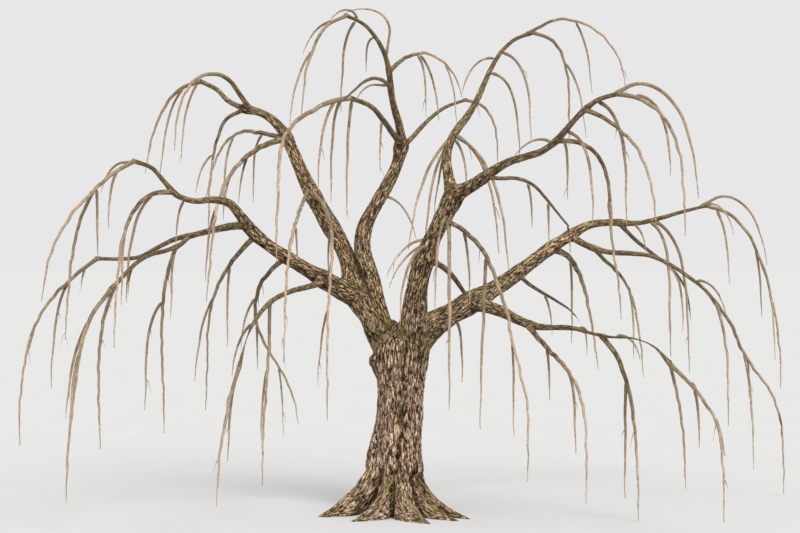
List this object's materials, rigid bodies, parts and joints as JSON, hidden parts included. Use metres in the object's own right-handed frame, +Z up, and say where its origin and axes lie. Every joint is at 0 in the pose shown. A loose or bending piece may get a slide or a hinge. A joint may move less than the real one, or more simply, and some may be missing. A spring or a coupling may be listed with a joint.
{
  "type": "weeping willow tree",
  "caption": "Bare mature weeping willow: flared trunk forking low into main limbs, arching boughs and long hanging withes, rooted in the ground.",
  "frame": {"origin": "centre of the flat cut under the trunk, at ground level, where the pith would come out", "axes": "+Z up, +X to the right across the widest spread of the crown, +Y towards the back"},
  "size_m": [14.9731, 8.8174, 9.0812],
  "materials": {
    "trunk_bark": "deep ridged bark, matt, with moss in the crotches",
    "bough_bark": "shallow ridged olive brown bark, matt",
    "branch_bark": "thin smooth brown bark, matt",
    "withe_bark": "smooth tan shoot bark, matt"
  },
  "bodies": {
    "root": {"bough_left_withe": "withe_bark", "bough_right_withe": "withe_bark", "brace_bough": "bough_bark", "centre_leader": "bough_bark", "centre_left_bough": "bough_bark", "centre_left_withe": "withe_bark", "centre_right_bough": "bough_bark", "centre_right_withe": "withe_bark", "centre_stem": "bough_bark", "east_bough": "bough_bark", "east_cross_bough": "bough_bark", "east_high_bough": "bough_bark", "east_high_branch": "branch_bark", "east_high_withe": "withe_bark", "east_hook_bough": "bough_bark", "east_inner_branch": "branch_bark", "east_link_bough": "bough_bark", "east_low_bough": "bough_bark", "east_second_bough": "bough_bark", "east_second_inner_withe": "withe_bark", "east_second_withe": "withe_bark", "east_veil_branch": "branch_bark", "east_withe": "withe_bark", "knuckle_branch": "branch_bark", "leader_left_bough": "bough_bark", "leader_right_branch": "branch_bark", "leader_withe": "withe_bark", "low_front_branch": "branch_bark", "low_inner_withe": "withe_bark", "low_middle_branch": "branch_bark", "low_withe": "withe_bark", "north_arch_branch": "branch_bark", "north_back_branch": "branch_bark", "north_crest_bough": "bough_bark", "north_crest_withe": "withe_bark", "north_elbow_branch": "branch_bark", "north_under_branch": "branch_bark", "northeast_bough": "bough_bark", "northeast_high_withe": "withe_bark", "northeast_withe": "withe_bark", "northwest_bough": "bough_bark", "right_stem": "bough_bark", "stem_veil_branch": "branch_bark", "trunk": "trunk_bark", "west_arch_branch": "branch_bark", "west_bough": "bough_bark", "west_inner_branch": "branch_bark", "west_inner_withe": "withe_bark", "west_long_bough": "bough_bark", "west_long_withe": "withe_bark", "west_low_bough": "bough_bark", "west_low_inner_withe": "withe_bark", "west_low_withe": "withe_bark", "west_near_branch": "branch_bark", "west_second_bough": "bough_bark", "west_second_withe": "withe_bark", "west_straight_withe": "withe_bark", "west_third_withe": "withe_bark", "west_withe": "withe_bark"}
  },
  "joints": []
}
